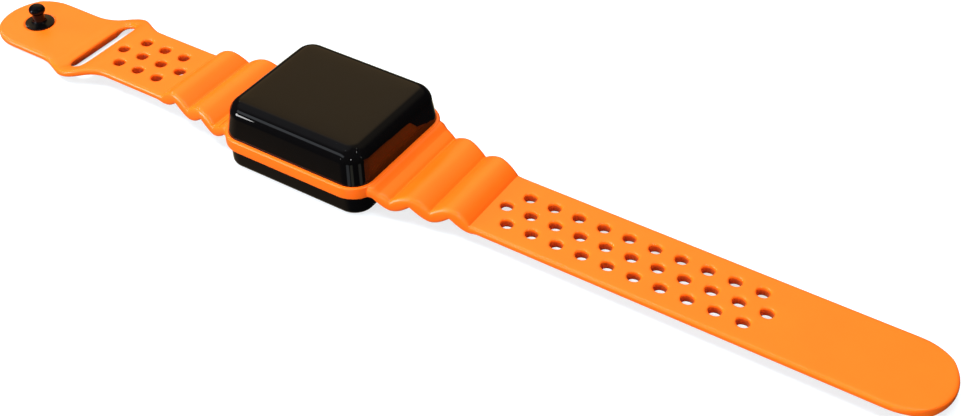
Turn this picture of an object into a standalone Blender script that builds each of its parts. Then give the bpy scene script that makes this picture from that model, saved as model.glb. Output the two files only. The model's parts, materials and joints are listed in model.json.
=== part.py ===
"""GPS running watch: a glossy black pod held at its waist by a soft orange band.

Metres, +Z up. The origin is the centre of the pod's flat rear face. +X runs along the band
towards its long arm, +Y runs across it. The band lies open and flat, as it is moulded.
"""
import math

import bmesh
import bpy
from mathutils import Vector

MM = 0.001
GAP = 0.3 * MM                    # air between neighbouring pieces

# Pod, outside
COVER_HALF_X = 21.0 * MM
COVER_HALF_Y = 18.0 * MM
COVER_CORNER = 5.4 * MM
COVER_TOP = 18.2 * MM
COVER_BOTTOM = 7.2 * MM
COVER_EDGE = 4.0 * MM             # rounding between the side walls and the top face
COVER_WALL = 1.5 * MM
COVER_WAIST = 9.0 * MM            # the side walls start to lean in here
COVER_LEAN = 0.75 * MM            # and have leaned in this far where the top rounding starts
REAR_INSET = 0.4 * MM             # the rear case is a touch smaller than the cover
REAR_TOP = 6.0 * MM
REAR_FLOOR = 1.8 * MM
REAR_WALL = 1.6 * MM
REAR_EDGE = 1.3 * MM
SEAL_INSET = 0.2 * MM             # the seal sits this far inside the rear case's outline
SEAL_WIDTH = 1.1 * MM
SEAL_HEIGHT = 0.6 * MM

# Pod, inside: where each piece stands, and its size
BATTERY_SIZE = (26.0 * MM, 20.0 * MM, 4.0 * MM)
BATTERY_AT = (-4.5 * MM, 0.0, 2.3 * MM)
MOTOR_RADIUS = 2.0 * MM
MOTOR_LENGTH = 9.0 * MM
MOTOR_AT = (13.0 * MM, 4.0 * MM, 4.4 * MM)
CHASSIS_BOTTOM = 7.5 * MM
CHASSIS_THICK = 0.9 * MM
CHASSIS_HALF = (19.1 * MM, 15.9 * MM)
CHASSIS_CORNER = 4.0 * MM
POST_RADIUS = 2.0 * MM            # screw posts hanging from the chassis
POST_OVERLAP = 0.4 * MM
POST_BORE_DEPTH = 6.2 * MM
WINDOW_AT = (0.0, -11.5 * MM)     # the battery lead passes through here
WINDOW_SIZE = (9.0 * MM, 4.0 * MM)
BOARD_BOTTOM = 9.0 * MM
BOARD_THICK = 0.8 * MM
BOARD_HALF = (17.4 * MM, 14.0 * MM)
PANEL_BOTTOM = 13.7 * MM
PANEL_THICK = 1.2 * MM
PANEL_HALF = (16.2 * MM, 12.8 * MM)
TOUCH_BOTTOM = 15.2 * MM
SHEET_THICK = 0.35 * MM
ADHESIVE_BOTTOM = 15.9 * MM
LAYER_CORNER = 2.0 * MM
CHIPS = {                         # centre and size in mm, standing on the main board
    "processor_chip": ((-8, 4), (8, 8, 1.0)),
    "gps_receiver_chip": ((3, 5), (5, 5, 0.9)),
    "memory_chip": ((-8, -5), (7, 5, 0.9)),
    "power_chip": ((1.5, -4), (4, 4, 0.9)),
    "motion_sensor_chip": ((1.5, 0.3), (2.5, 2.5, 0.8)),
    "display_connector": ((-1, 11), (8, 2, 1.1)),
    "battery_connector": ((0, -12), (6, 2.2, 1.0)),
    "gps_antenna": ((11, 2), (9, 9, 1.8)),
}
RIBBON_X = -1.0 * MM
DISPLAY_FLEX = (7.0 * MM, 0.25 * MM)                   # width and thickness
DISPLAY_FLEX_PATH = ((13.1, 14.3), (13.7, 14.2), (14.3, 13.8), (14.4, 12.6), (14.1, 11.9),
                     (13.2, 11.6), (10.6, 11.6))       # mm in the YZ plane
BATTERY_LEAD = (4.0 * MM, 0.3 * MM)
BATTERY_LEAD_PATH = ((-10.4, 4.4), (-11.2, 4.7), (-11.5, 5.4), (-11.5, 8.6))
SCREW_X = 16.2 * MM
SCREW_Y = 12.8 * MM
SCREW_SHANK = 0.8 * MM
SCREW_HEAD = 1.4 * MM
SCREW_HEIGHTS = (0.2 * MM, 0.7 * MM, 5.4 * MM)         # bottom, under the head, and end
SCREW_SEAT = 1.0 * MM             # depth of the counterbore in the rear face
CONTACT_RADIUS = 1.0 * MM
CONTACT_BOTTOM = 0.1 * MM
CONTACT_FLANGE = (0.35 * MM, 0.5 * MM)                 # overhang and thickness
CONTACT_PITCH = 2.9 * MM
CONTACT_X = 12.6 * MM
CONTACT_Y = -10.8 * MM
CUTTER_TOP = 3.0 * MM             # cutters for the rear face end inside the cavity

# Band
PITCH = 6.5 * MM                  # hole pitch along the band
STRAP_HALF = 11.0 * MM            # half of the 22 mm band
STRAP_BOTTOM = 3.4 * MM
STRAP_THICK = 2.0 * MM
ROW_OFFSET = 5.28 * MM            # outer hole rows from the middle row
FIRST_HOLE = 50.0 * MM
HOLE_RADIUS = 1.45 * MM
FOLD_STEP = 0.9 * MM              # between cross-sections through the folds
LONG_HOLES = 11
SHORT_HOLES = 4
LONG_TIP = 156.4 * MM
TIP_DEGREES = (0, 20, 38, 54, 68, 79, 84)   # stations around a round end
CRADLE_BOTTOM = 5.5 * MM
CRADLE_TOP = 8.95 * MM
CRADLE_HALF_X = 22.15 * MM
CRADLE_HALF_Y = 18.9 * MM
CRADLE_CORNER = 7.0 * MM
CRADLE_EDGE = 0.4 * MM
CRADLE_LEDGE = 6.4 * MM           # the cover stands on this ledge
VALLEYS = (26.6 * MM, 36.6 * MM, 46.5 * MM)            # creases of the upper surface
VALLEY_TOPS = (6.05 * MM, 6.0 * MM, 5.45 * MM)
CREST_TOPS = (8.1 * MM, 8.45 * MM, 8.4 * MM)
NOTCHES = (22.4 * MM, 31.5 * MM, 41.4 * MM)            # creases of the lower surface
NOTCH_HEIGHTS = (5.55 * MM, 5.5 * MM, 5.45 * MM)
LOBE_BOTTOMS = (3.0 * MM, 2.75 * MM, 3.0 * MM)
LAST_LOBE = 46.0 * MM
LOBE_SETTLED = 48.8 * MM
FOLD_FLARE = 4.8 * MM             # extra half width at the cradle
LONG_CUTS = tuple(x * MM for x in (61.375, 77.625, 93.875, 110.125, 126.4, 141.4))
SHORT_CUTS = tuple(x * MM for x in (61.375, 90.0))

# Loop and pin plate at the end of the short arm
LOOP_SLOT = (75.0 * MM, 80.2 * MM)
LOOP_SLOT_HALF = 11.2 * MM
LOOP_SLOT_CORNER = 2.5 * MM
STEP_FROM = 69.0 * MM
STEP_TO = 85.5 * MM
STEP_DROP = 3.12 * MM
EAR_PEAK = 77.5 * MM
EAR = 4.05 * MM                   # extra half width at the ear's peak
EAR_REACH = (11.0 * MM, 12.5 * MM)
PLATE_HALF = 11.1 * MM
PLATE_END = 112.9 * MM
PLATE_BOTTOM = STRAP_BOTTOM - STEP_DROP
PIN_X = -101.8 * MM
PIN_DISC_RADIUS = 3.95 * MM
PIN_DISC_THICK = 0.45 * MM
PIN_RECESS = 0.35 * MM            # the disc sits in a shallow round recess
PIN_NECK = 1.15 * MM
PIN_FLARE = (0.5 * MM, 0.7 * MM)  # the neck's foot spreads this much, over this height
PIN_KNOB = (2.1 * MM, 1.25 * MM)  # radius and half height of the flattened ball
PIN_KNOB_RISE = 3.9 * MM          # knob's centre above the disc
BACKING_RADIUS = 3.4 * MM
BACKING_THICK = 0.55 * MM

FINISHES = {                      # colour, roughness, metallic
    "orange_silicone": ((1.0, 0.27, 0.022), 0.45, 0.0),
    "gloss_black": ((0.008, 0.008, 0.009), 0.06, 0.0),
    "seal_rubber": ((0.02, 0.02, 0.02), 0.7, 0.0),
    "black_steel": ((0.02, 0.02, 0.022), 0.2, 0.9),
    "gold_plate": ((0.83, 0.6, 0.25), 0.25, 1.0),
    "chassis_grey": ((0.12, 0.12, 0.13), 0.5, 0.0),
    "green_board": ((0.01, 0.09, 0.04), 0.4, 0.0),
    "chip_black": ((0.02, 0.02, 0.02), 0.5, 0.0),
    "antenna_ceramic": ((0.62, 0.5, 0.36), 0.5, 0.0),
    "display_black": ((0.01, 0.01, 0.012), 0.1, 0.0),
    "clear_film": ((0.75, 0.78, 0.8), 0.1, 0.0),
    "flex_amber": ((0.35, 0.12, 0.02), 0.35, 0.0),
    "battery_foil": ((0.6, 0.6, 0.62), 0.3, 0.8),
    "motor_steel": ((0.55, 0.55, 0.56), 0.3, 1.0),
}


def clear_scene():
    for item in list(bpy.data.objects):
        bpy.data.objects.remove(item, do_unlink=True)


def material(name, colour, roughness, metallic):
    made = bpy.data.materials.new(name)
    made.use_nodes = True
    shader = made.node_tree.nodes["Principled BSDF"]
    shader.inputs["Base Color"].default_value = (*colour, 1.0)
    shader.inputs["Roughness"].default_value = roughness
    shader.inputs["Metallic"].default_value = metallic
    return made


def add_object(name, bm, surface):
    bmesh.ops.recalc_face_normals(bm, faces=bm.faces)
    mesh = bpy.data.meshes.new(name)
    bm.to_mesh(mesh)
    bm.free()
    mesh.shade_smooth()
    mesh.set_sharp_from_angle(angle=math.radians(35))
    made = bpy.data.objects.new(name, mesh)
    bpy.context.scene.collection.objects.link(made)
    if surface:
        mesh.materials.append(surface)
    return made


def loft(name, loops, surface=None, closed=False):
    """Skin through equal loops of points; capped at both ends, or closed into a ring."""
    bm = bmesh.new()
    rings = [[bm.verts.new(point) for point in loop] for loop in loops]
    pairs = list(zip(rings, rings[1:]))
    if closed:
        pairs.append((rings[-1], rings[0]))
    else:
        bm.faces.new(rings[0])
        bm.faces.new(rings[-1])
    for low, high in pairs:
        for i in range(len(low)):
            j = (i + 1) % len(low)
            bm.faces.new((low[i], low[j], high[j], high[i]))
    return add_object(name, bm, surface)


def rounded_rectangle(half_x, half_y, corner, z, steps=5):
    points = []
    centres = ((1, 1, 0), (-1, 1, 90), (-1, -1, 180), (1, -1, 270))
    for side_x, side_y, start in centres:
        for step in range(steps + 1):
            angle = math.radians(start + 90 * step / steps)
            x = side_x * (half_x - corner) + corner * math.cos(angle)
            y = side_y * (half_y - corner) + corner * math.sin(angle)
            points.append(Vector((x, y, z)))
    return points


def circle(x, y, z, radius, steps=16):
    turn = 2 * math.pi / steps
    return [Vector((x + radius * math.cos((i + 0.5) * turn),
                    y + radius * math.sin((i + 0.5) * turn), z)) for i in range(steps)]


def turned(name, x, y, profile, surface=None, steps=16):
    """Solid of revolution about a vertical line, from (radius, height) pairs."""
    return loft(name, [circle(x, y, z, radius, steps) for radius, z in profile], surface)


def block(name, centre, size, surface):
    """Box standing on centre's height."""
    x, y, z = centre
    half_x, half_y = size[0] / 2, size[1] / 2
    corners = ((-half_x, -half_y), (half_x, -half_y), (half_x, half_y), (-half_x, half_y))
    loops = [[Vector((x + u, y + v, h)) for u, v in corners] for h in (z, z + size[2])]
    return loft(name, loops, surface)


def boolean(target, tool, operation):
    tool.hide_render = True
    tool.display_type = "WIRE"
    change = target.modifiers.new(operation.title(), "BOOLEAN")
    change.operation = operation
    change.object = tool


# Pod

def pod_loop(inset, z):
    corner = COVER_CORNER - inset
    return rounded_rectangle(COVER_HALF_X - inset, COVER_HALF_Y - inset, corner, z)


def cover_loops(inset, top, edge, bottom):
    """Side wall from the bottom up, leaning in past the waist, then the rounding into the top face."""
    loops = [pod_loop(inset, bottom), pod_loop(inset, COVER_WAIST)]
    for step in range(5):
        angle = math.radians(90 * step / 4)
        drawn_in = inset + COVER_LEAN + edge * (1 - math.cos(angle))
        loops.append(pod_loop(drawn_in, top - edge * (1 - math.sin(angle))))
    return loops


def build_cover(surface):
    inner = cover_loops(COVER_WALL, COVER_TOP - COVER_WALL, COVER_EDGE - COVER_WALL, COVER_BOTTOM)
    outer = cover_loops(0.0, COVER_TOP, COVER_EDGE, COVER_BOTTOM)
    loft("lens_cover", list(reversed(inner)) + outer, surface)


def build_rear_case(surface):
    cavity = REAR_INSET + REAR_WALL
    loops = [
        pod_loop(cavity, REAR_FLOOR),
        pod_loop(cavity, REAR_TOP),
        pod_loop(REAR_INSET, REAR_TOP),
        pod_loop(REAR_INSET, REAR_EDGE),
        pod_loop(REAR_INSET + 0.3 * REAR_EDGE, 0.3 * REAR_EDGE),
        pod_loop(REAR_INSET + REAR_EDGE, 0.0),
    ]
    case = loft("rear_case", loops, surface)
    head, shank, contact = SCREW_HEAD + GAP, SCREW_SHANK + GAP, CONTACT_RADIUS + GAP
    for x, y in screw_places():
        profile = ((head, -MM), (head, SCREW_SEAT), (shank, SCREW_SEAT), (shank, CUTTER_TOP))
        boolean(case, turned("screw_hole_cutter", x, y, profile, steps=12), "DIFFERENCE")
    for x, y in contact_places():
        profile = ((contact, -MM), (contact, CUTTER_TOP))
        boolean(case, turned("contact_hole_cutter", x, y, profile, steps=12), "DIFFERENCE")


def build_seal(surface):
    low = REAR_TOP + GAP
    high = low + SEAL_HEIGHT
    outer = REAR_INSET + SEAL_INSET
    inner = outer + SEAL_WIDTH
    loops = [pod_loop(inner, low), pod_loop(outer, low), pod_loop(outer, high), pod_loop(inner, high)]
    loft("case_seal", loops, surface, closed=True)


def screw_places():
    return [(x, y) for x in (-SCREW_X, SCREW_X) for y in (-SCREW_Y, SCREW_Y)]


def contact_places():
    return [(CONTACT_X, CONTACT_Y + i * CONTACT_PITCH) for i in range(4)]


def build_fasteners(steel, gold):
    low, under, end = SCREW_HEIGHTS
    for number, (x, y) in enumerate(screw_places(), 1):
        profile = ((SCREW_HEAD, low), (SCREW_HEAD, under), (SCREW_SHANK, under), (SCREW_SHANK, end))
        turned(f"rear_screw_{number}", x, y, profile, steel, steps=12)
    flange = CONTACT_RADIUS + CONTACT_FLANGE[0]
    seat = REAR_FLOOR + GAP
    for number, (x, y) in enumerate(contact_places(), 1):
        profile = ((CONTACT_RADIUS, CONTACT_BOTTOM), (CONTACT_RADIUS, seat), (flange, seat),
                   (flange, seat + CONTACT_FLANGE[1]))
        turned(f"charging_contact_{number}", x, y, profile, gold, steps=12)


def build_chassis(surface):
    """Inner frame plate with a cable window and four screw posts."""
    loops = [rounded_rectangle(*CHASSIS_HALF, CHASSIS_CORNER, z) for z in
             (CHASSIS_BOTTOM, CHASSIS_BOTTOM + CHASSIS_THICK)]
    plate = loft("inner_chassis", loops, surface)
    bore = SCREW_SHANK + GAP
    for x, y in screw_places():
        profile = ((POST_RADIUS, REAR_FLOOR + GAP), (POST_RADIUS, CHASSIS_BOTTOM + POST_OVERLAP))
        boolean(plate, turned("post", x, y, profile, steps=12), "UNION")
        profile = ((bore, 0.0), (bore, POST_BORE_DEPTH))
        boolean(plate, turned("bore_cutter", x, y, profile, steps=12), "DIFFERENCE")
    window = block("window_cutter", (*WINDOW_AT, 0.0), (*WINDOW_SIZE, COVER_TOP), None)
    boolean(plate, window, "DIFFERENCE")


def layer(name, half, bottom, thick, surface):
    loops = [rounded_rectangle(*half, LAYER_CORNER, z, steps=3) for z in (bottom, bottom + thick)]
    return loft(name, loops, surface)


def build_electronics(skins):
    layer("display_panel", PANEL_HALF, PANEL_BOTTOM, PANEL_THICK, skins["display_black"])
    layer("touch_sensor", PANEL_HALF, TOUCH_BOTTOM, SHEET_THICK, skins["clear_film"])
    layer("cover_adhesive", PANEL_HALF, ADHESIVE_BOTTOM, SHEET_THICK, skins["clear_film"])
    layer("main_board", BOARD_HALF, BOARD_BOTTOM, BOARD_THICK, skins["green_board"])
    top = BOARD_BOTTOM + BOARD_THICK + GAP
    for name, ((x, y), size) in CHIPS.items():
        finish = "antenna_ceramic" if name == "gps_antenna" else "chip_black"
        block(name, (x * MM, y * MM, top), [side * MM for side in size], skins[finish])
    block("battery_cell", BATTERY_AT, BATTERY_SIZE, skins["battery_foil"])


def ribbon(name, width, thick, path, surface):
    """Flat strip of one thickness along a path in the YZ plane."""
    points = [Vector((0.0, y * MM, z * MM)) for y, z in path]
    loops = []
    for i, point in enumerate(points):
        before = points[max(i - 1, 0)]
        after = points[min(i + 1, len(points) - 1)]
        along = (after - before).normalized()
        side = Vector((0.0, -along.z, along.y)) * thick / 2
        left, right = RIBBON_X - width / 2, RIBBON_X + width / 2
        loops.append([point + side + Vector((x, 0, 0)) for x in (left, right)]
                     + [point - side + Vector((x, 0, 0)) for x in (right, left)])
    return loft(name, loops, surface)


def build_ribbons(surface):
    ribbon("display_flex", *DISPLAY_FLEX, DISPLAY_FLEX_PATH, surface)
    ribbon("battery_lead", *BATTERY_LEAD, BATTERY_LEAD_PATH, surface)


def build_motor(surface):
    x, y, z = MOTOR_AT
    loops = []
    for end in (-MOTOR_LENGTH / 2, MOTOR_LENGTH / 2):
        ring = circle(x, z, 0.0, MOTOR_RADIUS, 14)
        loops.append([Vector((point.x, y + end, point.y)) for point in ring])
    loft("vibration_motor", loops, surface)


# Band

def smooth(value):
    value = min(max(value, 0.0), 1.0)
    return value * value * (3 - 2 * value)


def between(x, start, end):
    return (x - start) / (end - start)


def arm_top(x):
    """Upper surface: round crests with creases between them, then the plain band."""
    plain = STRAP_BOTTOM + STRAP_THICK
    if x >= VALLEYS[-1]:
        return plain + (VALLEY_TOPS[-1] - plain) * (1 - smooth(between(x, VALLEYS[-1], LOBE_SETTLED)))
    if x <= VALLEYS[0]:
        share = min(max(1 - between(x, COVER_HALF_X, VALLEYS[0]), 0.0), 1.0)
        return VALLEY_TOPS[0] + (CREST_TOPS[0] - VALLEY_TOPS[0]) * math.sin(share * math.pi / 2) ** 0.7
    fold = 0 if x < VALLEYS[1] else 1
    share = between(x, VALLEYS[fold], VALLEYS[fold + 1])
    base = VALLEY_TOPS[fold] + (VALLEY_TOPS[fold + 1] - VALLEY_TOPS[fold]) * share
    return base + (CREST_TOPS[fold + 1] - base) * math.sin(math.pi * share) ** 0.85


def arm_bottom(x):
    """Lower surface: round lobes under the creases, with notches under the crests."""
    if x >= LAST_LOBE:
        rise = STRAP_BOTTOM - LOBE_BOTTOMS[-1]
        return LOBE_BOTTOMS[-1] + rise * smooth(between(x, LAST_LOBE, LOBE_SETTLED))
    if x <= NOTCHES[0]:
        return NOTCH_HEIGHTS[0]
    if x >= NOTCHES[2]:
        fold, share = 2, between(x, NOTCHES[2], LAST_LOBE) / 2
    else:
        fold = 0 if x < NOTCHES[1] else 1
        share = between(x, NOTCHES[fold], NOTCHES[fold + 1])
    roof = NOTCH_HEIGHTS[fold]
    return roof - (roof - LOBE_BOTTOMS[fold]) * math.sin(math.pi * share)


def arm_half(x):
    """Half width: widest at the cradle, easing to the plain band past the folds."""
    share = max(1 - between(x, COVER_HALF_X, VALLEYS[-1] + 2 * MM), 0.0)
    return STRAP_HALF + FOLD_FLARE * share ** 1.35


def section(x, half, bottom, top):
    """Band cross-section at x, with fully rounded edges."""
    radius = (top - bottom) / 2
    middle = (top + bottom) / 2
    points = []
    for side in (1, -1):
        for degrees in (-90, -45, 0, 45, 90):
            angle = math.radians(degrees * side)
            y = side * (half - radius + radius * math.cos(angle))
            points.append(Vector((x, y, middle + radius * math.sin(angle))))
    return points


def stations(start, end, step):
    count = max(round((end - start) / step), 1)
    return [start + (end - start) * i / count for i in range(count + 1)]


def arm_piece(name, side, xs, surface, half=arm_half, bottom=arm_bottom, top=arm_top):
    """Length of one arm; side is 1 for the long arm and -1 for the short one."""
    loops = [section(side * x, half(x), bottom(x), top(x)) for x in xs]
    return loft(name, loops, surface)


def hole_places(count):
    """Three staggered rows: the middle row has one hole more than the outer rows."""
    places = [(FIRST_HOLE + i * PITCH, 0.0) for i in range(count)]
    for row in (-ROW_OFFSET, ROW_OFFSET):
        places += [(FIRST_HOLE + (i + 0.5) * PITCH, row) for i in range(count - 1)]
    return places


def punch(piece, side, start, end, count):
    """Cut the round holes that lie between start and end."""
    for x, y in hole_places(count):
        if start < x < end:
            profile = ((HOLE_RADIUS, 0.0), (HOLE_RADIUS, COVER_BOTTOM))
            boolean(piece, turned("hole_cutter", side * x, y, profile, steps=12), "DIFFERENCE")


def cradle_loop(inset, z):
    return rounded_rectangle(CRADLE_HALF_X - inset, CRADLE_HALF_Y - inset, CRADLE_CORNER - inset, z)


def build_cradle(surface):
    """Ring around the pod's waist with the root of both arms, and the hole that the pod sits in."""
    edge = CRADLE_EDGE
    loops = [cradle_loop(edge, CRADLE_BOTTOM), cradle_loop(0.0, CRADLE_BOTTOM + edge),
             cradle_loop(0.0, CRADLE_TOP - edge), cradle_loop(edge, CRADLE_TOP)]
    cradle = loft("band_cradle", loops, surface)
    for side in (1, -1):
        xs = [BOARD_HALF[0]] + stations(COVER_HALF_X, VALLEYS[0] - GAP / 2, FOLD_STEP)
        root = arm_piece("root", side, xs, surface)
        boolean(cradle, root, "UNION")
    lower = loft("lower_cutter", [pod_loop(REAR_INSET - GAP, z) for z in (-MM, CRADLE_LEDGE + MM)])
    upper = loft("upper_cutter", [pod_loop(-GAP, z) for z in (CRADLE_LEDGE, COVER_TOP)])
    boolean(cradle, lower, "DIFFERENCE")
    boolean(cradle, upper, "DIFFERENCE")


def build_folds(prefix, side, surface):
    for number in (1, 2):
        start = VALLEYS[number - 1] + GAP / 2
        end = VALLEYS[number] - GAP / 2
        arm_piece(f"{prefix}_fold_{number}", side, stations(start, end, FOLD_STEP), surface)


def build_long_arm(surface):
    build_folds("long_strap", 1, surface)
    joints = (VALLEYS[-1],) + LONG_CUTS
    for number, (start, end) in enumerate(zip(joints, joints[1:]), 1):
        first, last = start + GAP / 2, end - GAP / 2
        settled = stations(first, LOBE_SETTLED, FOLD_STEP) if number == 1 else [first]
        xs = settled + [last]
        piece = arm_piece(f"long_strap_section_{number}", 1, xs, surface)
        punch(piece, 1, start, end, LONG_HOLES)
    first = joints[-1] + GAP / 2
    arc = LONG_TIP - STRAP_HALF
    xs = [first] + [arc + STRAP_HALF * math.sin(math.radians(d)) for d in TIP_DEGREES]
    arm_piece("long_strap_tip", 1, xs, surface, half=lambda x: tip_half(x, arc, STRAP_HALF))


def tip_half(x, arc, radius):
    return math.sqrt(max(radius ** 2 - max(x - arc, 0.0) ** 2, 0.0))


def step_drop(x):
    """How far the short arm has stepped down towards the pin plate."""
    return STEP_DROP * smooth(between(x, STEP_FROM, STEP_TO))


def loop_half(x):
    """Half width over the loop: the band swells into two ears beside the slot."""
    reach = EAR_REACH[0] if x < EAR_PEAK else EAR_REACH[1]
    share = max(1 - abs(x - EAR_PEAK) / reach, 0.0)
    plain = STRAP_HALF + (PLATE_HALF - STRAP_HALF) * smooth(between(x, STEP_FROM, STEP_TO))
    return plain + EAR * smooth(share)


def build_short_arm(surface):
    build_folds("short_strap", -1, surface)
    start, end = VALLEYS[-1], SHORT_CUTS[0]
    first = start + GAP / 2
    xs = stations(first, LOBE_SETTLED, FOLD_STEP) + [end - GAP / 2]
    piece = arm_piece("short_strap_section", -1, xs, surface)
    punch(piece, -1, start, end, SHORT_HOLES)
    build_loop(surface)
    build_plate(surface)


def build_loop(surface):
    start, end = SHORT_CUTS
    xs = [start + GAP / 2] + stations(EAR_PEAK - EAR_REACH[0], end - GAP / 2, 1.4 * MM)
    piece = arm_piece("strap_loop", -1, xs, surface, loop_half,
                      lambda x: STRAP_BOTTOM - step_drop(x),
                      lambda x: STRAP_BOTTOM + STRAP_THICK - step_drop(x))
    punch(piece, -1, start, end, SHORT_HOLES)
    near, far = LOOP_SLOT
    middle = (near + far) / 2
    width = (far - near) / 2
    slot = [rounded_rectangle(width, LOOP_SLOT_HALF, LOOP_SLOT_CORNER, z) for z in (-MM, COVER_TOP)]
    cutter = loft("slot_cutter", [[point - Vector((middle, 0, 0)) for point in loop] for loop in slot])
    boolean(piece, cutter, "DIFFERENCE")


def build_plate(surface):
    first = SHORT_CUTS[1] + GAP / 2
    arc = PLATE_END - PLATE_HALF
    xs = [first] + [arc + PLATE_HALF * math.sin(math.radians(d)) for d in TIP_DEGREES]
    top = PLATE_BOTTOM + STRAP_THICK
    piece = arm_piece("pin_plate", -1, xs, surface, lambda x: tip_half(x, arc, PLATE_HALF),
                      lambda x: PLATE_BOTTOM, lambda x: top)
    below = BACKING_RADIUS + GAP
    ceiling = PLATE_BOTTOM + BACKING_THICK + GAP
    above = PIN_DISC_RADIUS + GAP
    floor = top - PIN_RECESS
    bore = PIN_NECK + GAP
    profile = ((below, -MM), (below, ceiling), (bore, ceiling), (bore, floor), (above, floor),
               (above, COVER_BOTTOM))
    boolean(piece, turned("pin_hole_cutter", PIN_X, 0.0, profile), "DIFFERENCE")


def build_pin(surface):
    disc = PLATE_BOTTOM + STRAP_THICK - PIN_RECESS + GAP
    top = disc + PIN_DISC_THICK
    centre = top + PIN_KNOB_RISE
    backing_top = PLATE_BOTTOM + BACKING_THICK
    profile = [(PIN_NECK, backing_top + GAP), (PIN_NECK, disc), (PIN_DISC_RADIUS, disc),
               (PIN_DISC_RADIUS, top - 0.15 * MM), (PIN_DISC_RADIUS - 0.2 * MM, top),
               (PIN_NECK + PIN_FLARE[0], top + 0.1 * MM), (PIN_NECK, top + PIN_FLARE[1])]
    for degrees in (-57, -30, 0, 30, 60, 85):
        angle = math.radians(degrees)
        profile.append((PIN_KNOB[0] * math.cos(angle), centre + PIN_KNOB[1] * math.sin(angle)))
    turned("locking_pin", PIN_X, 0.0, profile, surface)
    flat = ((BACKING_RADIUS, PLATE_BOTTOM + 0.02 * MM), (BACKING_RADIUS, backing_top))
    turned("pin_backing_disc", PIN_X, 0.0, flat, surface)


def main():
    clear_scene()
    skins = {name: material(name, *finish) for name, finish in FINISHES.items()}
    build_cover(skins["gloss_black"])
    build_rear_case(skins["gloss_black"])
    build_seal(skins["seal_rubber"])
    build_fasteners(skins["black_steel"], skins["gold_plate"])
    build_chassis(skins["chassis_grey"])
    build_electronics(skins)
    build_ribbons(skins["flex_amber"])
    build_motor(skins["motor_steel"])
    build_cradle(skins["orange_silicone"])
    build_long_arm(skins["orange_silicone"])
    build_short_arm(skins["orange_silicone"])
    build_pin(skins["black_steel"])


main()
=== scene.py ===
import json
import math

import bmesh
import bpy
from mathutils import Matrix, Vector


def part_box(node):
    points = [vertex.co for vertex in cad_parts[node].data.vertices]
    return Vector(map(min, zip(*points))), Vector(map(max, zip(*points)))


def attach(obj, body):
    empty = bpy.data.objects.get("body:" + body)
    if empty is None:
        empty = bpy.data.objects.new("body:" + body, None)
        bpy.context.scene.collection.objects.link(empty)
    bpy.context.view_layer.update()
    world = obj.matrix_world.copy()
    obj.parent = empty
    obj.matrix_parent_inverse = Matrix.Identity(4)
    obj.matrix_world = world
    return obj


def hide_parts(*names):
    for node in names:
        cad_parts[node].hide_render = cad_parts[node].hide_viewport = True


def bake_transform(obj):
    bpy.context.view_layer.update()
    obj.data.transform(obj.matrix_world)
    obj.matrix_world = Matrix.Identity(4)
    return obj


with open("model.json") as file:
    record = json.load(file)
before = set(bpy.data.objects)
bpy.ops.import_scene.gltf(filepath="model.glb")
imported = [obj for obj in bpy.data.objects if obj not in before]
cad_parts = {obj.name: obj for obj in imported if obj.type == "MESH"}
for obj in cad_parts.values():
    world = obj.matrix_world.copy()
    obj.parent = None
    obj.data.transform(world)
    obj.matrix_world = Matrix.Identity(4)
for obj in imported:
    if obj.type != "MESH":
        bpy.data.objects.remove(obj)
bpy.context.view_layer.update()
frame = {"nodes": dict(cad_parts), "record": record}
mm = 0.001


def hexColour(code):
    channels = [int(code[i:i + 2], 16) / 255 for i in (1, 3, 5)]
    linear = [c / 12.92 if c <= 0.04045 else ((c + 0.055) / 1.055) ** 2.4 for c in channels]
    return (*linear, 1.0)


def addNode(tree, kind, inputs=None, links=None, **settings):
    node = tree.nodes.new(kind)
    for key, value in settings.items():
        setattr(node, key, value)
    for key, value in (inputs or {}).items():
        node.inputs[key].default_value = value
    for key, source in (links or {}).items():
        tree.links.new(source, node.inputs[key])
    return node


def newMaterial(name):
    made = bpy.data.materials.new(name)
    made.use_nodes = True
    tree = made.node_tree
    coords = tree.nodes.new("ShaderNodeTexCoord").outputs["Object"]
    return made, tree, tree.nodes["Principled BSDF"], coords


def finishPiece(name, bm, material, sharpAngle=40):
    mesh = bpy.data.meshes.new(name)
    bm.to_mesh(mesh)
    bm.free()
    mesh.shade_smooth()
    mesh.set_sharp_from_angle(angle=math.radians(sharpAngle))
    mesh.materials.append(material)
    piece = bpy.data.objects.new(name, mesh)
    bpy.context.scene.collection.objects.link(piece)
    return piece


def smoothStep(value):
    value = min(max(value, 0.0), 1.0)
    return value * value * (3 - 2 * value)


def share(x, start, end):
    # how far x lies from start to end, 0 to 1 and beyond
    return (x - start) / (end - start)


silicone = {"deep": "#EE620C", "bright": "#F4680F", "drift": 9 * mm, "grain": 0.25 * mm,
            "relief": 0.05 * mm, "reliefShown": 0.08, "smoothest": 0.30, "roughest": 0.38,
            "ior": 1.41, "specular": 1.0}


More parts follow.
